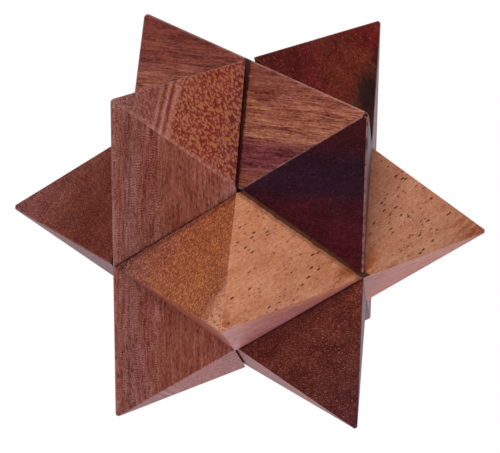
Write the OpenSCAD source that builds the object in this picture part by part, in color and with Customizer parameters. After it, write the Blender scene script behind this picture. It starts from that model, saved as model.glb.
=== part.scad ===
// Six-piece diagonal burr that closes into a twelve-pointed star.
// Six identical square sticks lie in three crossed pairs, each turned cornerwise.
// Every stick has two V notches on its inner edge and roof-cut ends. The side
// edges of one pair of sticks nest in the notches of the next pair, so no stick
// can move alone. Three sticks together slide off the other three along a
// diagonal of the enclosing cube.
// Frame: +Z up, origin at the centre of the footprint, -Y is the front.

/* [Stick] */
// Side of the square stick that every piece is cut from
stick_side = 27.6; // [20:0.1:40]
// How far each sharp edge is eased back by sanding, measured from the sharp corner
edge_ease = 0.2; // [0.1:0.05:0.5]
// How far the twelve star points are blunted along their own axes
tip_blunt = 0.6; // [0:0.1:1.5]

/* [Fit] */
// Gap between each notch face and the stick face that lies in it
notch_clearance = 0.4; // [0.2:0.05:0.6]
// Gap that is left where one stick has settled on another under its weight
seat_gap = 0.08; // [0.05:0.01:0.15]

/* [Hidden] */
// Half the diagonal of the stick's square end
half_diagonal = stick_side / sqrt(2);
// The play that the clearance gives along the diagonal
play = notch_clearance * sqrt(2);
// Distance from the star's centre to the middle line of every stick, and
// from a stick's middle to each of its notches: the grid unit of the star
unit = half_diagonal + play;
// Distance from the star's centre to the outer edge of a stick, before easing.
// A stick is this long to each side of its middle, so the faces of the star are flush.
reach = unit + half_diagonal;
// The left, right and top sticks settle by this much into the notches under them
seat_drop = (notch_clearance - seat_gap) * sqrt(2);
// Height of the star's centre above the surface it stands on
centre_height = reach - edge_ease;
// Cutting bodies run past the stick by this much
overrun = 5;

// A square standing on its corner, with the four corners eased flat.
// half: distance from its centre to a sharp corner
module eased_diamond(half) {
    intersection() {
        rotate(45) square(half * sqrt(2), center = true);
        square(2 * (half - edge_ease), center = true);
    }
}

// The stick's square section, standing on Z, its inner edge beside the Z axis
module square_stick() {
    translate([unit, 0, -reach]) linear_extrude(2 * reach) eased_diamond(half_diagonal);
}

// The roof cuts that end the stick: a larger square bar lying along X
module roof_envelope() {
    translate([-overrun, 0, 0])
        rotate([0, 90, 0])
            linear_extrude(reach + 2 * overrun) eased_diamond(reach);
}

// Blunts the two points: a square bar along Y whose sides cross the points' axes
module point_envelope() {
    corner = 2 * reach - tip_blunt * sqrt(2);
    rotate([90, 0, 0])
        linear_extrude(reach, center = true)
            polygon([[corner, 0], [0, corner], [-corner, 0], [0, -corner]]);
}

// The V notch above the middle, open towards the star's centre. Its two faces stand
// at 45 degrees to the stick and meet at a right angle, level with the side edges.
module notch() {
    rotate([90, 0, 0])
        linear_extrude(reach, center = true)
            polygon([[unit, unit], [-overrun, 2 * unit + overrun], [-overrun, -overrun]]);
}

// One burr stick, standing on Z on the +X side of the star's centre
module burr_stick() {
    difference() {
        intersection() {
            square_stick();
            roof_envelope();
            point_envelope();
        }
        notch();
        mirror([0, 0, 1]) notch();
    }
}

// Places a stick: turned to its side of the star, then lifted to stand on Z = 0
module placed(turn, drop = 0) {
    translate([0, 0, centre_height - drop]) rotate(turn) burr_stick();
}

// Two upright sticks, at the front and the back
module front_stick() { color("#8f573b") placed([0, 0, -90]); }
module back_stick() { color("#6e3426") placed([0, 0, 90]); }

// Two level sticks that run from front to back, at the left and the right
module left_stick() { color("#75402e") placed([90, 0, 180], seat_drop); }
module right_stick() { color("#c08252") placed([90, 0, 0], seat_drop); }

// Two level sticks that run from side to side, at the top and the bottom
module top_stick() { color("#9a6040") placed([0, -90, 0], seat_drop); }
module bottom_stick() { color("#5d3026") placed([0, 90, 0]); }

front_stick();
back_stick();
left_stick();
right_stick();
top_stick();
bottom_stick();
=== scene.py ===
# %% [markdown]
# # A six-piece star burr in waxed hardwood
#
# The real object is six square sticks, sawn from one kind of open-pored tropical hardwood, that
# lock into a star with twelve points. This lesson loads the measured frame, sets up the camera and
# a plain studio, saws one stick with mesh operators, lays it in its six places, and finishes each
# stick with a procedural wood of its own. The frame comes first because every later size and
# place is read from it.

# %% Load the frame
import math

import bmesh
import bpy
from mathutils import Euler, Matrix, Vector


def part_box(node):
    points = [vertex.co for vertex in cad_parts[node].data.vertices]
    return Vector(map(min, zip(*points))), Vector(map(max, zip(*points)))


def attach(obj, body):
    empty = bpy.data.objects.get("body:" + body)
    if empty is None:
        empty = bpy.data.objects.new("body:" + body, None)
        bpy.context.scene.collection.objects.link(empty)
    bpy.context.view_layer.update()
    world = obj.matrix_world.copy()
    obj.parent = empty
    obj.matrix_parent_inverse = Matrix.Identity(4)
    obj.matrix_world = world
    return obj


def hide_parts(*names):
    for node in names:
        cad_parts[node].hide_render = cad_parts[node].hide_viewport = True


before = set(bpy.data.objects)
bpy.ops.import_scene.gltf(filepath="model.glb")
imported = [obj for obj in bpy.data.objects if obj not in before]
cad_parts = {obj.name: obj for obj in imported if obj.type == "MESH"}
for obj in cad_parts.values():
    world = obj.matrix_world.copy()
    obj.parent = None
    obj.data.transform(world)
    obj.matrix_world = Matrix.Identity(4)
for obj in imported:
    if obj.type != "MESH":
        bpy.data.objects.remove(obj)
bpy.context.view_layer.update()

# %% [markdown]
# ## Sizes
#
# Four lengths fix a stick: half its diagonal, half its length, how far its sharp edges are eased,
# and the play between a notch and the stick that lies in it. The half length is read from the
# frame. The play is the one that the frame was drawn with, and it makes each stick a little
# thinner than the grid of the star.

# %% Sizes of a stick, in metres
MM = 0.001
EDGE_EASE = 0.2 * MM          # a corner's loss to sanding, from the sharp corner
NOTCH_GAP = 0.4 * MM          # play between a notch face and the stick face in it
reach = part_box("front_stick")[1].z / 2 + EDGE_EASE
play = NOTCH_GAP * math.sqrt(2)
half_diagonal = (reach - play) / 2
unit = half_diagonal + play
print(f"stick: {half_diagonal * math.sqrt(2) / MM:.2f} mm square, {2 * reach / MM:.2f} mm long")

# %% [markdown]
# ## Camera
#
# A long lens from half a metre away flattens the star only a little, so the near points still look
# larger than the far ones. The camera looks down at the front right of the star. It is placed with
# an azimuth, a height angle and a distance from the star's centre, and turned a little about
# its own axis, as a hand-held or roughly levelled camera is.

# %% Camera
CAMERA_AZIMUTH, CAMERA_HEIGHT, CAMERA_ROLL = 50.14, 25.09, 0.57    # degrees
CAMERA_DISTANCE = 0.5667      # metres from the star's centre
LENS_MM, SENSOR_MM = 175.4, 36
AIM_SHIFT = Vector((0.84, -0.52, -2.08)) * MM     # from the star's centre to the middle of the view


def way_to(azimuth, height):
    """A unit vector to an azimuth and a height in degrees. Azimuth 0 is the front, -Y."""
    a, h = math.radians(azimuth), math.radians(height)
    return Vector((math.sin(a) * math.cos(h), -math.cos(a) * math.cos(h), math.sin(h)))


star_centre = Vector((0, 0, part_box("front_stick")[1].z / 2))
aim = star_centre + AIM_SHIFT
back = way_to(CAMERA_AZIMUTH, CAMERA_HEIGHT)
camera = bpy.data.objects.new("camera", bpy.data.cameras.new("camera"))
bpy.context.scene.collection.objects.link(camera)
bpy.context.scene.camera = camera
camera.data.lens, camera.data.sensor_width = LENS_MM, SENSOR_MM
camera.data.clip_start, camera.data.clip_end = 0.05, 20
camera.location = star_centre + back * CAMERA_DISTANCE
looking = (aim - camera.location).to_track_quat("-Z", "Y").to_matrix()
roll = Matrix.Rotation(math.radians(CAMERA_ROLL), 3, "Z")
camera.rotation_euler = (looking @ roll).to_euler()
print("camera at", [round(v, 3) for v in camera.location])

# %% [markdown]
# ## Colours and nodes
#
# Colours are written as the hex values that a paint chart gives, and Blender wants them linear, so
# one function turns them. A second function adds one node. Its settings are set as properties.
# Each input is a plain value, a socket of another node, or another node, whose first live output
# is then linked.

# %% Colour and node helpers
def linear(hex_colour):
    channels = [int(hex_colour[i:i + 2], 16) / 255 for i in (1, 3, 5)]
    return tuple(c / 12.92 if c <= 0.04045 else ((c + 0.055) / 1.055) ** 2.4
                 for c in channels) + (1.0,)


def add(tree, kind, inputs=(), stops=(), **settings):
    made = tree.nodes.new("ShaderNode" + kind)
    for name, value in settings.items():
        setattr(made, name, value)
    for socket, value in inputs.items() if isinstance(inputs, dict) else enumerate(inputs):
        if isinstance(value, bpy.types.Node):
            value = next(output for output in value.outputs if output.enabled)
        if isinstance(value, bpy.types.NodeSocket):
            tree.links.new(value, made.inputs[socket])
        else:
            made.inputs[socket].default_value = value
    for i, (position, colour) in enumerate(stops):
        elements = made.color_ramp.elements
        stop = elements[i] if i < 2 else elements.new(position)
        stop.position, stop.color = position, colour
    return made


print("mid brown is", [round(c, 3) for c in linear("#8f573b")])

# %% [markdown]
# ## Studio
#
# Small goods shot on pure white stand on a glowing sheet inside a white tent, with the room in
# front of them kept dim so that the wood keeps its depth. The sheet and the tent are a stage that
# only the camera sees. The light itself comes from one soft box above, to the left of the
# camera, and from a room that is bright behind and below the star and dim in front. The bright
# side gives the undersides their pale sheen. The colours are shown as they are, with no film curve.

# %% Sheet and tent
PAPER, GLOW = "#fffdff", 1.02     # a shade above white, so that sheet and tent read as blank
STAGE_RADIUS = 3.0                # metres, well behind the camera


def stage_piece(name, mesh_data):
    mesh = bpy.data.meshes.new(name)
    mesh_data.to_mesh(mesh)
    mesh_data.free()
    made = bpy.data.objects.new(name, mesh)
    bpy.context.scene.collection.objects.link(made)
    made.visible_diffuse = made.visible_glossy = made.visible_shadow = False
    made.visible_transmission = False
    finish = bpy.data.materials.new(name)
    finish.use_nodes = True
    finish.node_tree.nodes.clear()
    shader = add(finish.node_tree, "BsdfPrincipled", {
        "Base Color": (0, 0, 0, 1), "Roughness": 0.6, "Specular IOR Level": 0.0,
        "Emission Color": linear(PAPER), "Emission Strength": GLOW})
    add(finish.node_tree, "OutputMaterial", {"Surface": shader})
    mesh.materials.append(finish)


sheet = bmesh.new()
bmesh.ops.create_circle(sheet, cap_ends=True, segments=96, radius=STAGE_RADIUS)
stage_piece("opal_sheet", sheet)
tent = bmesh.new()
bmesh.ops.create_uvsphere(tent, u_segments=64, v_segments=32, radius=STAGE_RADIUS)
bmesh.ops.reverse_faces(tent, faces=tent.faces)
stage_piece("white_tent", tent)
print("sheet and tent:", STAGE_RADIUS, "m from the middle")

# %% Room light
DIM_WALL, BRIGHT_WALL, PALE_FLOOR = "#5a5458", "#fff2fc", "#f4cddb"
WALL_FADE = (-0.35, 0.55)     # cosines from behind the camera: where dim turns to bright
FLOOR_FADE = (0.1, -0.35)     # heights of a unit direction: where wall turns to floor
room = bpy.data.worlds.new("room")
bpy.context.scene.world = room
room.use_nodes = True
room_tree = room.node_tree
room_tree.nodes.clear()
direction = add(room_tree, "TexCoord").outputs["Generated"]
facing = add(room_tree, "VectorMath", [direction, -back], operation="DOT_PRODUCT")
bright_side = add(room_tree, "MapRange", [facing, *WALL_FADE], interpolation_type="SMOOTHSTEP")
walls = add(room_tree, "Mix", {0: bright_side, 6: linear(DIM_WALL), 7: linear(BRIGHT_WALL)},
            data_type="RGBA")
height = add(room_tree, "SeparateXYZ", [direction]).outputs["Z"]
below = add(room_tree, "MapRange", [height, *FLOOR_FADE], interpolation_type="SMOOTHSTEP")
room_colour = add(room_tree, "Mix", {0: below, 6: walls, 7: linear(PALE_FLOOR)},
                  data_type="RGBA", blend_type="LIGHTEN")
lit_room = add(room_tree, "Background", {"Color": room_colour, "Strength": 1.0})
add(room_tree, "OutputWorld", {"Surface": lit_room})
print("room light:", len(room_tree.nodes), "nodes")

# %% Soft box
KEY_AZIMUTH, KEY_HEIGHT = 36, 38                  # degrees
KEY_DISTANCE, KEY_SIDE, KEY_WATTS = 0.9, 0.35, 6.2    # metres, metres, watts
lamp = bpy.data.lights.new("key", "AREA")
lamp.shape, lamp.size, lamp.energy = "SQUARE", KEY_SIDE, KEY_WATTS
lamp.color = linear("#fffaf4")[:3]
soft_box = bpy.data.objects.new("key", lamp)
bpy.context.scene.collection.objects.link(soft_box)
towards = way_to(KEY_AZIMUTH, KEY_HEIGHT)
soft_box.location = star_centre + towards * KEY_DISTANCE
soft_box.rotation_euler = towards.to_track_quat("Z", "Y").to_euler()
bpy.context.scene.view_settings.view_transform = "Standard"
print("soft box at", [round(v, 3) for v in soft_box.location])

# %% [markdown]
# ## Sawing a stick
#
# The stick lies with its length along Z, its inner edge just beside the Z axis and its body on the
# +X side. Its side view, with the two V notches, is one outline pushed through the wood. Then a saw
# does the rest, as in the real workshop: four cuts leave the square turned on its corner, four make
# the roof-shaped ends, and two take the sharp tips off. bisect_plane is that saw, and every cut is
# closed with one new face. No two sticks of a hand-sawn puzzle are quite alike, so a table holds
# what the saw did to each one: how far each end runs over or short at the inner edge and at the
# outer edge, how blunt its two tips are, and how much wider its upper notch is than it should be.

# %% The saw
TOUCHING = 1e-7               # metres: a corner this near the blade lies on the cut


def saw(stick, point, normal):
    """Cut off all that lies beyond a plane, and close the cut."""
    everything = stick.verts[:] + stick.edges[:] + stick.faces[:]
    cut = bmesh.ops.bisect_plane(stick, geom=everything, dist=TOUCHING, plane_co=point,
                                 plane_no=normal, clear_outer=True)
    rim = [g for g in cut["geom_cut"] if isinstance(g, bmesh.types.BMEdge)]
    bmesh.ops.holes_fill(stick, edges=rim, sides=0)


print("corners nearer than", TOUCHING / MM, "mm lie on a cut")

# %% One stick
SPARE = 1.1                   # the blank is this much bigger than the stick, for the saw to trim
SAME_SPOT = 1e-6              # metres: corners nearer than this are one
FLAT = math.radians(0.5)      # faces that meet at less than this are one


def sawn_stick(ends=((0, 0), (0, 0)), blunt=(0.6, 0.6), wide=(0, 0)):
    """All in mm. ends and blunt: the -Z end, then the +Z end. wide: at the apex, then the mouth."""
    stick = bmesh.new()
    over = SPARE * reach
    apex = unit + wide[0] * MM / 2
    mouth = 2 * unit + wide[1] * MM - play
    lean = (over - apex) / (mouth - apex)
    side_view = [(reach, -over), (reach, over), (apex - (apex - play) * lean, over),
                 (apex, apex), (play, play), (play, -play), (unit, -unit),
                 (2 * unit - over, -over)]
    half_thick = SPARE * unit
    outline = stick.faces.new([stick.verts.new((x, -half_thick, z)) for x, z in side_view])
    pushed = bmesh.ops.extrude_face_region(stick, geom=[outline])
    far_side = [g for g in pushed["geom"] if isinstance(g, bmesh.types.BMVert)]
    bmesh.ops.translate(stick, verts=far_side, vec=(0, 2 * half_thick, 0))
    for side in (-1, 1):
        saw(stick, (play, 0, 0), (-1, side, 0))
        saw(stick, (reach, 0, 0), (1, side, 0))
    for end, (inner, outer), loss in zip((-1, 1), ends, blunt):
        for side in (-1, 1):
            saw(stick, (0, 0, end * (reach + inner * MM)),
                ((inner - outer) * MM / reach, side, end))
        tip = reach + outer * MM
        saw(stick, (reach - loss * MM * math.sqrt(2) / 2, 0,
                    end * (tip - loss * MM * math.sqrt(2) / 2)), (1, 0, end))
    bmesh.ops.remove_doubles(stick, verts=stick.verts, dist=SAME_SPOT)
    bmesh.ops.dissolve_limit(stick, angle_limit=FLAT, verts=stick.verts[:],
                             edges=stick.edges[:])
    bmesh.ops.recalc_face_normals(stick, faces=stick.faces)
    return stick


trial = sawn_stick()
print("sawn stick:", len(trial.faces), "faces,", round(trial.calc_volume() * 1e6, 2), "cm3")
print("open edges:", sum(not e.is_manifold for e in trial.edges))
trial.free()

# %% [markdown]
# ## Easing the edges
#
# A pass of fine paper rounds every outer edge by about half a millimetre. The floors of the
# notches are inner corners that no paper reaches, so only edges that stand proud are bevelled.

# %% Eased edges
EASE_RADIUS = EDGE_EASE / (math.sqrt(2) - 1)     # a round that takes EDGE_EASE off a square corner
PROUD = 0.1                   # radians: an edge that stands out by more than this is eased


def ease_edges(stick):
    proud = [e for e in stick.edges if e.is_manifold and e.calc_face_angle_signed() > PROUD]
    bmesh.ops.bevel(stick, geom=proud, offset=EASE_RADIUS, offset_type="OFFSET", segments=3,
                    profile=0.5, affect="EDGES", material=-1, clamp_overlap=True)
    bmesh.ops.recalc_face_normals(stick, faces=stick.faces)


print(f"edges rounded to {EASE_RADIUS / MM:.2f} mm")

# %% [markdown]
# ## Laying the six sticks
#
# The star is three crossed pairs of sticks, and each stick is the same piece turned another way.
# Six turned copies could share one mesh, but the saw left each stick a little different, so each
# is sawn afresh, eased, and moved as a whole mesh into its place. Its place across is the middle
# of its box in the frame, and its outer edge lies on the frame's, so no stick floats or sinks.

# %% Lay the six sticks
PLACES = {                    # the turn in degrees about X, Y and Z that lays each stick
    "front": (0, 0, -90), "back": (0, 0, 90), "left": (90, 0, 180),
    "right": (90, 0, 0), "top": (0, -90, 0), "bottom": (0, 90, 0)}
AS_SAWN = {                   # what the saw did to each stick, in mm
    "front": dict(wide=(0.2, 0.8)),
    "right": dict(ends=((0, -1.2), (0, 1.0)), blunt=(0.6, 1.2)),
    "left": dict(blunt=(0.8, 0.6)),
    "top": dict(blunt=(1.1, 0.9)),
    "bottom": dict(ends=((0, 0), (0, -0.5)))}


def place_of(body):
    turn = Euler([math.radians(a) for a in PLACES[body]], "XYZ").to_matrix()
    low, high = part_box(body + "_stick")
    outward = turn @ Vector((1, 0, 0))
    spot = (low + high) / 2
    for axis in range(3):
        if abs(outward[axis]) > 0.5:
            outermost = high[axis] if outward[axis] > 0 else low[axis]
            spot[axis] = outermost - outward[axis] * (reach - EDGE_EASE)
    return Matrix.Translation(spot) @ turn.to_4x4()


sticks = {}
for body in PLACES:
    stick = sawn_stick(**AS_SAWN.get(body, {}))
    ease_edges(stick)
    bmesh.ops.transform(stick, matrix=place_of(body), verts=stick.verts)
    mesh = bpy.data.meshes.new(body + "_stick_wood")
    stick.to_mesh(mesh)
    stick.free()
    piece = bpy.data.objects.new(body + "_stick_wood", mesh)
    bpy.context.scene.collection.objects.link(piece)
    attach(piece, body)
    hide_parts(body + "_stick")
    sticks[body] = piece
    print(piece.name, len(mesh.polygons), "faces at",
          [round(v / MM, 2) for v in place_of(body).to_translation()])

# %% [markdown]
# ## Waxed tropical hardwood
#
# The sticks are an open-pored tropical hardwood such as monkeypod, sawn, sanded to about 240 grit
# and rubbed with wax. What the eye sees on a face depends on how it was cut. Along the grain the
# vessels are cut lengthwise and show as short dark dashes on a plain brown ground. Across the
# grain, on the roof-shaped ends, the same wood drinks more wax and turns darker and redder, and
# the soft cells round each vessel show as pale flecks. So the pattern is not painted face by face:
# it is one solid block in millimetres, with axes across the rings, along the rings and along
# the fibres, and each stick has its block turned the way its own plank grew.

# %% The wood as a solid
HALF_BLOCK = 20.0             # mm from the stick's middle to the ends of its tone tables


def block_place(tree, body, ring_turn=0.0, grain_lean=(0, 0)):
    """Object coordinates to millimetres across the rings, along the rings and along the fibres.

    ring_turn turns the rings about the stick, in degrees. grain_lean is how far the fibres lean
    along the stick's own X and Y for each millimetre along it.
    """
    fibre = Vector((*grain_lean, 1)).normalized()
    across = Vector((math.cos(math.radians(ring_turn)), math.sin(math.radians(ring_turn)), 0))
    across = (across - fibre * across.dot(fibre)).normalized()
    grown = Matrix((across, fibre.cross(across), fibre)).transposed()
    into_block = (place_of(body).to_3x3() @ grown).inverted()
    middle = place_of(body) @ Vector((unit, 0, 0))
    return add(tree, "Mapping", {
        "Vector": add(tree, "TexCoord").outputs["Object"], "Rotation": into_block.to_euler(),
        "Location": -(into_block @ middle) / MM, "Scale": (1 / MM,) * 3})


def per_mm(*sizes):
    """What to multiply the block by, so that one cell of a pattern has these sizes in mm."""
    return tuple(1 / size for size in sizes)


def tone_table(tree, across, tones):
    """Colours across the rings, in millimetres from the stick's middle."""
    place = add(tree, "MapRange", [across, -HALF_BLOCK, HALF_BLOCK])
    return add(tree, "ValToRGB", [place],
               stops=[((mm + HALF_BLOCK) / (2 * HALF_BLOCK), linear(colour))
                      for mm, colour in tones])


print("tone tables reach", HALF_BLOCK, "mm each way")

# %% [markdown]
# ## Which way a face is cut
#
# The same block looks plain on a long face and dark and flecked on an end, so the wood has to
# know which of the two it is on. A mask painted by hand could say so, but the face's own
# normal says it exactly and stays right if a size changes. The normal is measured along the
# stick's three axes. A long face has none of it along the stick, and an end face has 0.71. No flat
# face has more than 0.71 along any axis, so a part that passes 0.8 tells a rounded edge.

# %% Which way a face is cut
END_PART = (0.25, 0.5)        # part of the normal along the stick, from a long face to an end
ROUND_PART = (0.79, 0.83)     # largest part of the normal, from a flat face to a rounded edge


def face_cuts(tree, body):
    """1 on the ends and 0 on the long faces, then 1 on the rounded edges only."""
    normal = add(tree, "TexCoord").outputs["Normal"]
    into_stick = place_of(body).to_3x3()
    sides = [add(tree, "VectorMath", [normal, into_stick @ Vector(axis)],
                 operation="DOT_PRODUCT") for axis in ((1, 0, 0), (0, 1, 0), (0, 0, 1))]
    sides = [add(tree, "Math", [side], operation="ABSOLUTE") for side in sides]
    end_cut = add(tree, "MapRange", [sides[2], *END_PART], interpolation_type="SMOOTHSTEP")
    most = add(tree, "Math", [sides[0], sides[1]], operation="MAXIMUM")
    most = add(tree, "Math", [most, sides[2]], operation="MAXIMUM")
    edges = add(tree, "MapRange", [most, *ROUND_PART], interpolation_type="SMOOTHSTEP")
    return end_cut, edges


print("end cut past", END_PART[1], "and rounded edge past", ROUND_PART[1])

# %% [markdown]
# ## Streaks
#
# Up close the wood is never one tone. Growth lines, bundles of fibre, slow clouds and a fine grit
# each lift and lower it. One noise with many octaves would give them all the same shape, so each
# has its own, with its own size across the rings, along the rings and along the fibres. They add
# up to a brightness around 1. Real fibres are finer than 0.45 mm, and grit is too, and both are
# drawn as coarse as they need to be to show.

# %% Streaks
STREAKS = {                   # mm across the rings, along them, along the fibres; detail; roughness
    "growth lines": ((1.3, 40, 200), 3, 0.6),
    "fibres": ((0.45, 0.45, 7), 3, 0.65),
    "cloud": ((4, 4, 9), 2, 0.5),
    "grit": ((0.28, 0.28, 0.9), 1, 0.5)}
DARKEST = 0.25                # a streak never takes the wood below this share of its tone


def streaks(tree, block, amounts):
    """A brightness around 1, with as much dark as light, and the fibres by themselves."""
    light, waves = 1.0, {}
    for amount, (name, (size, detail, roughness)) in zip(amounts, STREAKS.items()):
        cells = add(tree, "VectorMath", [block, per_mm(*size)], operation="MULTIPLY")
        waves[name] = add(tree, "TexNoise", {"Vector": cells, "Scale": 1.0, "Detail": detail,
                                             "Roughness": roughness})
        centred = add(tree, "Math", [waves[name], 0.5], operation="SUBTRACT")
        light = add(tree, "Math", [centred, amount, light], operation="MULTIPLY_ADD")
    return add(tree, "Math", [light, DARKEST], operation="MAXIMUM"), waves["fibres"]


print("streaks:", ", ".join(STREAKS))

# %% [markdown]
# ## Open vessels
#
# A tropical hardwood drinks through wide vessels. Sawn lengthwise, each is a short open groove that
# holds wax and dust, 0.15 to 0.4 mm wide and a few millimetres long. They could be cut in the mesh,
# at the cost of a million faces, but a groove that fine only needs to be dark and to dent the
# surface. A Voronoi pattern stretched along the fibres gives one dash to each long cell, and
# a slow noise gathers the dashes in clumps.

# %% Open vessels
DASH_EDGE = (1.4, 0.7)        # a dash fades between these shares of its radius
BETWEEN_CLUMPS = 0.1          # how dark a dash is outside the clumps


def dashes(tree, block, cell, width, amount, where=(0.38, 0.6), clump=(5, 5, 16)):
    """One dark dash in each cell, in mm, thicker on the ground in clumps."""
    cells = add(tree, "VectorMath", [block, per_mm(*cell)], operation="MULTIPLY")
    cells = add(tree, "TexVoronoi", {"Vector": cells, "Scale": 1.0})
    radius = width / 2 / cell[0]
    dash = add(tree, "MapRange", [cells, *[radius * share for share in DASH_EDGE]],
               interpolation_type="SMOOTHSTEP")
    clumps = add(tree, "VectorMath", [block, per_mm(*clump)], operation="MULTIPLY")
    clumps = add(tree, "TexNoise", {"Vector": clumps, "Scale": 1.0, "Detail": 1.0})
    here = add(tree, "MapRange", [clumps, *where, BETWEEN_CLUMPS, amount],
               interpolation_type="SMOOTHSTEP")
    return add(tree, "Math", [dash, here], operation="MULTIPLY")


print("a vessel fades out at", DASH_EDGE[0], "radii")

# %% [markdown]
# ## Flecks of soft cells
#
# On a cut across the grain, soft pale cells sit round each vessel and join into a net of flecks
# and short worms. Round drops alone look like spots of paint, and noise alone like cloud, so
# the two are added and the sum is cut off at one level. The net keeps to a stretch across
# the rings, because each growth ring has its own amount of it.

# %% Flecks of soft cells
DROPS, WORMS = 0.55, 0.8      # how much of the net each of the two patterns makes
WORM_SIZE = 0.7               # a worm's size to a drop's
NET_EDGE = (0.27, 0.12)       # a fleck fades between these levels past its reach
FLECK_FADE = 1                # mm over which a stretch of flecks begins and ends


def between(tree, amount, place, low, high, fade):
    """An amount that fades out past two places."""
    for limit, way in ((low, fade), (high, -fade)):
        inside = add(tree, "MapRange", [place, limit - way, limit + way],
                     interpolation_type="SMOOTHSTEP")
        amount = add(tree, "Math", [amount, inside], operation="MULTIPLY")
    return amount


def soft_cells(tree, block, across, size, reach_of, amount, low, high):
    """The net of pale soft cells round the vessels, between two places across the rings."""
    cells = add(tree, "VectorMath", [block, per_mm(*size)], operation="MULTIPLY")
    drops = add(tree, "TexVoronoi", {"Vector": cells, "Scale": 1.0, "Randomness": 0.9})
    worms = add(tree, "VectorMath", [block, per_mm(*[s * WORM_SIZE for s in size])],
                operation="MULTIPLY")
    worms = add(tree, "TexNoise", {"Vector": worms, "Scale": 1.0, "Detail": 1.0})
    drops = add(tree, "Math", [drops, DROPS], operation="MULTIPLY")
    net = add(tree, "Math", [worms, WORMS, drops], operation="MULTIPLY_ADD")
    net = add(tree, "MapRange", [net, *[reach_of + level for level in NET_EDGE], 0.0, amount],
              interpolation_type="SMOOTHSTEP")
    return between(tree, net, across, low, high, FLECK_FADE)


print("a stretch of flecks fades over", 2 * FLECK_FADE, "mm")

# %% [markdown]
# ## Ripple marks
#
# Some planks show fine lines square to the fibres, where the cells lie in storeys. They are about
# half a millimetre apart, never quite straight, and come and go. A sine along the fibres draws
# them. A noise bends the sine, or it would look like a printed comb, and a second noise says
# where it shows at all.

# %% Ripple marks
WANDER_SIZE, WANDER = (0.9, 0.9, 3), 3       # mm, and how many spacings a mark may stray
ZONE_SIZE, ZONE_EDGE = (1.2, 1.2, 2.5), (0.4, 0.62)     # mm, and levels where marks fade in
RIPPLE_FADE = 1.5             # mm over which the marks begin and end


def ripple_marks(tree, block, across, spacing, amount, low, high):
    """Fine marks square to the fibres, between two places across the rings."""
    wander = add(tree, "VectorMath", [block, per_mm(*WANDER_SIZE)], operation="MULTIPLY")
    wander = add(tree, "TexNoise", {"Vector": wander, "Scale": 1.0, "Detail": 2.0})
    along = add(tree, "SeparateXYZ", [block]).outputs["Z"]
    along = add(tree, "Math", [wander, spacing * WANDER, along], operation="MULTIPLY_ADD")
    comb = add(tree, "Math", [add(tree, "Math", [along, 2 * math.pi / spacing],
                                  operation="MULTIPLY")], operation="SINE")
    zone = add(tree, "VectorMath", [block, per_mm(*ZONE_SIZE)], operation="MULTIPLY")
    zone = add(tree, "TexNoise", {"Vector": zone, "Scale": 1.0})
    zone = add(tree, "MapRange", [zone, *ZONE_EDGE, 0.0, amount],
               interpolation_type="SMOOTHSTEP")
    zone = between(tree, zone, across, low, high, RIPPLE_FADE)
    return add(tree, "Math", [comb, zone], operation="MULTIPLY")


print("ripple marks stray by up to", WANDER, "spacings")

# %% [markdown]
# ## Patches, and painted shade and sheen where sticks meet
#
# Some marks belong to one spot and not to the grain: a dark area, a sun-bleached area, a painted
# mauve reflection of the pale room on an underside, a spot of painted shade in an inner corner, and
# bands of painted shade, or on the front stick of painted sheen, where two sticks meet. A painted
# image could hold them, but it would need the stick unwrapped. Here a patch is an egg round a point
# of the stick and a seam band is a thin slab across it, both with the ragged edge that the grain
# gives a mark. The gaps between the sticks are real in the mesh, and the painted shade darkens the
# wood beside them.

# %% Patches and painted seam shade and sheen
PATCH_RAG, PATCH_EDGE = 1.6, (1.25, 0.55)    # in radii of the patch
SEAM_RAG, SEAM_FADE = 0.8, 0.2               # in mm


def patch(tree, stick_mm, ragged, centre, radii):
    """1 inside an egg of these radii round a point of the stick, in mm, with a ragged edge."""
    away = add(tree, "VectorMath", [stick_mm, (centre[0] - unit / MM, *centre[1:])],
               operation="SUBTRACT")
    away = add(tree, "VectorMath", [away, per_mm(*radii)], operation="MULTIPLY")
    away = add(tree, "VectorMath", [away], operation="LENGTH")
    away = add(tree, "Math", [ragged, PATCH_RAG, away], operation="MULTIPLY_ADD")
    return add(tree, "MapRange", [away, *PATCH_EDGE], interpolation_type="SMOOTHSTEP")


# A seam band is painted shade beside a gap where two sticks meet when its colour is dark, and
# painted sheen when its colour is pale.
def seam_shade_and_sheen(tree, stick_mm, ragged, normal, low, high, strength):
    """The strength in the slab between two distances along a normal, in mm, and 0 outside it."""
    normal = Vector(normal).normalized()
    depth = add(tree, "VectorMath", [stick_mm, normal], operation="DOT_PRODUCT")
    depth = add(tree, "Math", [depth, unit / MM * normal.x], operation="ADD")
    depth = add(tree, "Math", [ragged, SEAM_RAG, depth], operation="MULTIPLY_ADD")
    return between(tree, strength, depth, low, high, SEAM_FADE)


# The colour laid may be the wood's own, or painted shade, sheen or highlight.
def lay_stain_or_painted_light(tree, ground, mark, where, colour):
    """Lay a colour over the ground as far as a mark shows, and only where the cut is right."""
    share = add(tree, "Math", [mark, where], operation="MULTIPLY")
    return add(tree, "Mix", {0: share, 6: ground, 7: linear(colour)}, data_type="RGBA")


# The seam bands are painted shade and painted sheen.
print("seam dirt fades over", 2 * SEAM_FADE, "mm")

# %% [markdown]
# ## One plank's growth
#
# No tree grows straight. Each stick takes its own part of one endless block, so that no two match.
# The block is bent by a slow wave, and the borders between rings are ragged at the scale of a
# bundle of fibres.

# %% One plank's growth
PLANK_STEP = (31.7, 17.3, 57.1)              # mm from one stick's part of the block to the next
BEND_SIZE, BEND = (12, 12, 60), (2.5, 2.5, 0.0)     # mm
RAG_SIZE = (1.2, 1.2, 9)                     # mm


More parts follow.
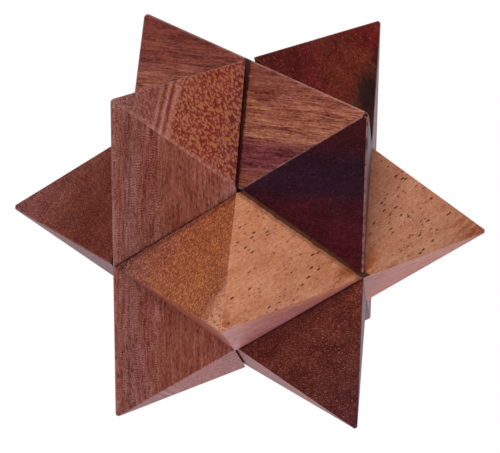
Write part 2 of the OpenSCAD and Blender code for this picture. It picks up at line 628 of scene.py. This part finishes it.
def growth(tree, block, seed):
    """The stick's own part of the block, the same part bent, and a ragged offset around 0."""
    shifted = add(tree, "VectorMath", [block, [seed * step for step in PLANK_STEP]],
                  operation="ADD")
    waves = add(tree, "VectorMath", [shifted, per_mm(*BEND_SIZE)], operation="MULTIPLY")
    waves = add(tree, "TexNoise", {"Vector": waves, "Scale": 1.0}).outputs["Color"]
    waves = add(tree, "VectorMath", [waves, (0.5, 0.5, 0.5)], operation="SUBTRACT")
    bent = add(tree, "VectorMath", [waves, BEND, shifted], operation="MULTIPLY_ADD")
    ragged = add(tree, "VectorMath", [shifted, per_mm(*RAG_SIZE)], operation="MULTIPLY")
    ragged = add(tree, "TexNoise", {"Vector": ragged, "Scale": 1.0, "Detail": 3.0})
    return shifted, bent, add(tree, "Math", [ragged, 0.5], operation="SUBTRACT")


print("the grain bends by up to", BEND[0] / 2, "mm")

# %% [markdown]
# ## One stick's wood
#
# A waxed hardwood is built from the ground up, in the order in which the real one got its looks.
# First come the tones of its rings, then streaks and ripple, then the soft cells and cut vessels of
# the ends, then the open vessels of the long faces, and last the edges rubbed pale by handling,
# with a painted highlight, and painted shade and sheen where sticks meet. Dark wood is also deeper
# in
# colour, so green and blue are lowered more than red. The wax leaves a low, slightly uneven gloss:
# its roughness follows the fibres from 0.36 to 0.56, its IOR is 1.4, close to that of wax, and open
# vessels and streaks dent the surface by about 0.1 mm.

# %% Cut vessels, and worn edges with a painted highlight
SPECK_EDGE = (0.5, 0.36)      # a speck darkens as the noise falls from the first to the second
# the worn edges' pale colour also paints a highlight along them
WEAR_AND_HIGHLIGHT_RAG, WEAR_AND_HIGHLIGHT = (-0.15, 0.1), (0.4, 1.4)    # from this raggedness to that share of the wear


def cut_vessels(tree, shifted, size, amount):
    """Fine dark specks, where vessels are cut across."""
    specks = add(tree, "VectorMath", [shifted, per_mm(*size)], operation="MULTIPLY")
    specks = add(tree, "TexNoise", {"Vector": specks, "Scale": 1.0, "Detail": 1.0})
    return add(tree, "MapRange", [specks, *SPECK_EDGE, 0.0, amount],
               interpolation_type="SMOOTHSTEP")


def wear_and_highlight(tree, edges, ragged):
    """Handling takes the wax off the rounded edges, more in one place than in the next.
    The pale edge is also a painted highlight.
    """
    here = add(tree, "MapRange", [ragged, *WEAR_AND_HIGHLIGHT_RAG, *WEAR_AND_HIGHLIGHT])
    return add(tree, "Math", [edges, here], operation="MULTIPLY")


print("wear runs from", WEAR_AND_HIGHLIGHT[0], "to", WEAR_AND_HIGHLIGHT[1], "times its strength")

# %% One stick's wood
WAX_ROUGHNESS = (0.36, 0.56)  # over the darkest to the palest fibres
FIBRE_RANGE = (0.3, 0.7)      # what the fibre noise runs between
WAX_IOR, WAX_TINT = 1.4, "#c89890"
DENT = 0.08 * MM              # a vessel's depth, as the light sees it
PORES_ON_ENDS = 0.35          # how much of the long faces' dashes the ends show


def hardwood(body, ring_turn, grain_lean, seed, tones, cut_tones, streak, flecks, pores,
             pore_colour, specks=None, ripple=None, patches=(), seam_shade_and_sheen_bands=(), rag=2.2,
             edge=("#b98a7c", 0.14), deepening=(1.0, 1.8, 2.1)):
    """The waxed wood of one stick.

    ring_turn, grain_lean: how the block lies in the stick, as block_place says
    tones, cut_tones: tone tables of the long faces and of the ends
    streak: how strong the four streaks are, in the order of STREAKS
    flecks: colour, size in mm, reach, amount, and the two places they lie between
    pores: what dashes needs, once for each width of vessel; pore_colour is theirs and the specks'
    specks: size in mm and amount; ripple: spacing in mm, amount, and the two places
    patches: centre and radii in mm, whether on the ends, strength, colour
    seam_shade_and_sheen_bands: painted shade, and on the front stick painted sheen, beside
    where sticks meet: normal, nearest and farthest mm, whether on the ends, strength, colour
    rag: how far ring borders wander, in mm; edge: colour and strength of the worn pale edges,
    whose pale line is also a painted highlight
    deepening: powers of the brightness in red, green and blue
    """
    wood = bpy.data.materials.new("waxed hardwood " + body)
    wood.use_nodes = True
    tree = wood.node_tree
    tree.nodes.clear()
    stick_mm = block_place(tree, body)
    block = block_place(tree, body, ring_turn, grain_lean)
    end_cut, edges = face_cuts(tree, body)
    long_cut = add(tree, "Math", [1.0, end_cut], operation="SUBTRACT")
    shifted, bent, ragged = growth(tree, block, seed)
    across = add(tree, "SeparateXYZ", [block])
    across = add(tree, "Math", [ragged, rag, across], operation="MULTIPLY_ADD")

    # tones of the rings, on the long faces and on the ends, and local patches
    ground = add(tree, "Mix", {0: end_cut, 6: tone_table(tree, across, tones),
                               7: tone_table(tree, across, cut_tones)}, data_type="RGBA")
    for centre, radii, on_end, strength, colour in patches:
        mark = patch(tree, stick_mm, ragged, centre, radii)
        mark = add(tree, "Math", [mark, strength], operation="MULTIPLY")
        ground = lay_stain_or_painted_light(tree, ground, mark, end_cut if on_end else long_cut, colour)

    # streaks and ripple marks, deeper in colour where they are darker
    light, fibres = streaks(tree, bent, streak)
    if ripple:
        comb = ripple_marks(tree, bent, across, *ripple)
        comb = add(tree, "Math", [comb, long_cut, 1.0], operation="MULTIPLY_ADD")
        light = add(tree, "Math", [light, comb], operation="MULTIPLY")
    channels = [add(tree, "Math", [light, power], operation="POWER") for power in deepening]
    tint = add(tree, "CombineXYZ", channels)
    ground = add(tree, "VectorMath", [ground, tint], operation="MULTIPLY")

    # pale soft cells and the specks of cut vessels, on the ends
    for colour, *fleck in flecks:
        mark = soft_cells(tree, bent, across, *fleck)
        ground = lay_stain_or_painted_light(tree, ground, mark, end_cut, colour)
    if specks:
        mark = cut_vessels(tree, shifted, *specks)
        ground = lay_stain_or_painted_light(tree, ground, mark, end_cut, pore_colour)

    # open vessels along the long faces
    depth = 0.0
    along_only = add(tree, "MapRange", [end_cut, 0.0, 1.0, 1.0, PORES_ON_ENDS])
    for pore in pores:
        dash = add(tree, "Math", [dashes(tree, bent, **pore), along_only], operation="MULTIPLY")
        ground = add(tree, "Mix", {0: dash, 6: ground, 7: linear(pore_colour)},
                     data_type="RGBA")
        depth = add(tree, "Math", [depth, dash], operation="MAXIMUM")

    # worn pale edges with a painted highlight, and painted shade and sheen where sticks meet
    edge_wear_and_highlight_colour, edge_wear_and_highlight = edge
    ground = lay_stain_or_painted_light(tree, ground, wear_and_highlight(tree, edges, ragged), edge_wear_and_highlight, edge_wear_and_highlight_colour)
    for normal, low, high, on_end, strength, colour in seam_shade_and_sheen_bands:
        mark = seam_shade_and_sheen(tree, stick_mm, ragged, normal, low, high, strength)
        ground = lay_stain_or_painted_light(tree, ground, mark, end_cut if on_end else long_cut, colour)

    rough = add(tree, "MapRange", [fibres, *FIBRE_RANGE, *WAX_ROUGHNESS])
    height = add(tree, "Math", [depth, -1.0, light], operation="MULTIPLY_ADD")
    bump = add(tree, "Bump", {"Height": height, "Strength": 0.3, "Distance": DENT})
    surface = add(tree, "BsdfPrincipled", {
        "Base Color": ground, "Roughness": rough, "IOR": WAX_IOR, "Normal": bump,
        "Specular Tint": linear(WAX_TINT)})
    add(tree, "OutputMaterial", {"Surface": surface})
    return wood


print("wax roughness", WAX_ROUGHNESS[0], "to", WAX_ROUGHNESS[1])

# %% [markdown]
# ## Six woods
#
# All six sticks have the one finish, and each is its own plank: how it was turned to the rings,
# how its fibres lean, its tones in millimetres from the stick's middle, and how strongly it shows
# streaks, flecks and vessels. The front stick has pale stripes on its ends and ripple marks
# on its long faces. The right one is a far paler board with bold vessels. The top one is almost
# black where it is cut across. The right one's underside and the back one's outer strip carry a
# painted mauve reflection of the pale room, of the kind that waxed wood shows there. Each table
# also lists the painted shade, and on the front stick the painted sheen, beside the places where
# sticks meet. One table holds all of it, so that a new stick is a few lines.

# %% Six woods
WOODS = {
    "front": dict(
        ring_turn=130, grain_lean=(0, 0), seed=1,
        tones=[(-14, "#8c5d4e"), (-9, "#744941"), (-4, "#7b4b3f"), (-1, "#784637"), (4, "#7b4636"),
               (10, "#844e3f"), (15, "#83534b")],
        cut_tones=[(-14, "#5d3635"), (-4, "#874d41"), (-3.3, "#b17768"), (-2.6, "#6f3326"),
                   (-1.8, "#b37364"), (-1.1, "#6b2b1d"), (-0.4, "#b36e62"), (0.6, "#7e3625"),
                   (8, "#862f26"), (12, "#782e30")],
        streak=(0.8, 1.45, 0.55, 1.1),
        flecks=[("#bb8060", (0.6, 0.72, 2.6), 0.45, 0.66, -0.5, 30),
                ("#a8746a", (0.5, 0.55, 1.8), 0.43, 0.7, -30, -4),
                ("#b8742e", (2.4, 0.9, 3.0), 0.3, 0.75, 4, 30)],
        pores=[dict(cell=(0.42, 0.42, 2.6), width=0.21, amount=0.75, where=(0.36, 0.55),
                    clump=(1.6, 1.6, 20)),
               dict(cell=(1.3, 1.3, 3.6), width=0.42, amount=0.8, where=(0.44, 0.57),
                    clump=(3, 3, 9))],
        pore_colour="#44221f", ripple=(0.62, 0.3, -30, -1), rag=0.9,
        # painted sheen: a pale pink and a mauve band on the ends, beside where sticks meet
        seam_shade_and_sheen_bands=[((1, 0, -1), -0.8, 0.45, True, 0.22, "#bd9488"),
               ((2, -1, 1), 15.0, 17.0, True, 0.55, "#8e6a7c")],
        edge=("#a9788a", 0.15)),
    "right": dict(
        ring_turn=0, grain_lean=(0.04, -0.32), seed=2,
        tones=[(-20, "#c87853"), (4, "#c4734b"), (20, "#985331")],
        cut_tones=[(-20, "#743938"), (-16, "#814945"), (-4, "#964e32"), (6, "#995330"),
                   (10, "#8d4f34"), (13, "#be8464"), (20, "#c78c6e")],
        streak=(0.15, 0.4, 0.42, 0.6),
        flecks=[("#c88c5c", (0.36, 0.36, 1.1), 0.4, 0.62, -30, 11)],
        pores=[dict(cell=(0.95, 0.95, 4.2), width=0.35, amount=0.95, where=(0.38, 0.54),
                    clump=(6, 6, 12)),
               dict(cell=(0.7, 0.7, 2.6), width=0.24, amount=0.85)],
        pore_colour="#5a2c1c", specks=((0.4, 0.4, 0.9), 0.6),
        patches=[((31, 9, 22), (30, 30, 24), False, 0.6, "#dca07c"),
                 ((32, 9, -20), (20, 20, 20), False, 0.4, "#e0b090"),
                 # painted reflection: a mauve sheen of the pale room on the underside
                 ((32, -14, 20), (30, 13, 40), False, 0.6, "#a27a82"),
                 # painted shade: a dark spot at the inner corner of the end, by the front stick
                 ((2.5, 2, 38), (3, 3, 3), True, 0.85, "#2a1216")],
        # painted shade beside where the top stick (long face) and the front stick (ends) meet this
        # one
        seam_shade_and_sheen_bands=[((1, 0, 1), 28.0, 29.0, False, 0.4, "#5c3024"),
               ((1, 0, 1), 26.5, 28.2, False, 0.85, "#2c1012"),
               ((2, -1, 1), 16.0, 18.4, True, 0.45, "#52242a"),
               ((2, -1, 1), 15.0, 17.15, True, 0.85, "#2c1012")],
        edge=("#d6a896", 0.2)),
    "top": dict(
        ring_turn=22, grain_lean=(-0.177, -0.177), seed=3,
        tones=[(-20, "#612f2d"), (-9, "#743c30"), (-5.5, "#663236"), (-1.5, "#6d3337"),
               (1.2, "#915844"), (8, "#8e523e"), (14, "#793e31"), (17, "#76382c"),
               (20, "#6f3226")],
        cut_tones=[(-20, "#440811"), (-4, "#260713"), (6, "#2d070c"), (20, "#36070f")],
        streak=(1.3, 2.5, 1.2, 1.7),
        flecks=[("#5e3038", (0.5, 0.5, 2.5), 0.25, 0.4, -30, 30)],
        pores=[dict(cell=(0.45, 0.45, 8.0), width=0.17, amount=0.85, where=(0.38, 0.55),
                    clump=(2.5, 2.5, 18)),
               dict(cell=(1.0, 1.0, 8.0), width=0.26, amount=0.9, where=(0.46, 0.58))],
        pore_colour="#3a1a1c", edge=("#c49a90", 0.3), deepening=(1.0, 1.6, 1.5),
        patches=[((24, -6, -32), (6.5, 30, 30), True, 0.9, "#160a1a"),
                 ((11, -9, -28), (8, 30, 30), True, 0.5, "#2a0a16")],
        # painted shade on the long face beside the front stick's edge
        seam_shade_and_sheen_bands=[((-1, -1, 2), -16.15, -14.2, False, 0.9, "#260c0d")]),
    "left": dict(
        ring_turn=0, grain_lean=(0, 0), seed=4,
        tones=[(-20, "#7a4436"), (0, "#864a3a"), (10, "#945648"), (20, "#9c6254")],
        cut_tones=[(-20, "#61281a"), (-4, "#5e220f"), (6, "#703729"), (20, "#7f4b47")],
        streak=(0.8, 1.4, 0.9, 2.6),
        flecks=[("#80503f", (0.5, 0.55, 2.0), 0.3, 0.6, -30, 30)],
        pores=[dict(cell=(0.8, 0.8, 5.0), width=0.24, amount=0.7)],
        pore_colour="#38191a", specks=((0.4, 0.4, 1.0), 0.3)),
    "back": dict(
        ring_turn=-63, grain_lean=(0, 0), seed=5,
        # the mauve tones from 11.5 mm out are a painted reflection of the pale room on the outer
        # strip
        tones=[(-20, "#8a5040"), (-8, "#7c3c2e"), (2, "#843f2c"), (9, "#7c3628"),
               (11.5, "#7a4a50"), (14, "#86606e")],
        cut_tones=[(-20, "#59160c"), (-8, "#4d110b"), (2, "#651919"), (9.5, "#6d1710"),
                   (12, "#110707"), (14, "#070707")],
        streak=(0.8, 1.2, 1.3, 1.4),
        flecks=[("#8a4628", (0.7, 0.8, 2.0), 0.3, 0.65, -30, 10)],
        pores=[dict(cell=(0.8, 0.8, 5.0), width=0.24, amount=0.7)],
        pore_colour="#2c1216", specks=((0.5, 0.5, 1.2), 0.4),
        patches=[((24, -8, 30), (9, 14, 14), True, 0.4, "#6e3a1c"),
                 ((26.5, -12, 27), (4.5, 6, 6), True, 0.85, "#1c0a10")]),
    "bottom": dict(
        ring_turn=60, grain_lean=(0, 0), seed=6,
        tones=[(-20, "#8a4c44"), (0, "#8a4c42"), (20, "#824640")],
        cut_tones=[(-20, "#602413"), (0, "#51251d"), (20, "#361226")],
        streak=(1.1, 1.2, 1.3, 2.2),
        flecks=[("#9a6a50", (0.4, 0.4, 1.2), 0.31, 0.6, -30, 30)],
        pores=[dict(cell=(0.8, 0.8, 5.0), width=0.24, amount=0.7)],
        pore_colour="#38191a", specks=((0.35, 0.35, 0.9), 0.4),
        # painted shade on the end, where it meets the right stick's underside
        seam_shade_and_sheen_bands=[((2, 1, 1), 15.0, 16.9, True, 0.8, "#220c0e")]),
}
for body, piece in sticks.items():
    piece.data.materials.append(hardwood(body, **WOODS[body]))
    print(piece.name, "is", piece.data.materials[0].name)
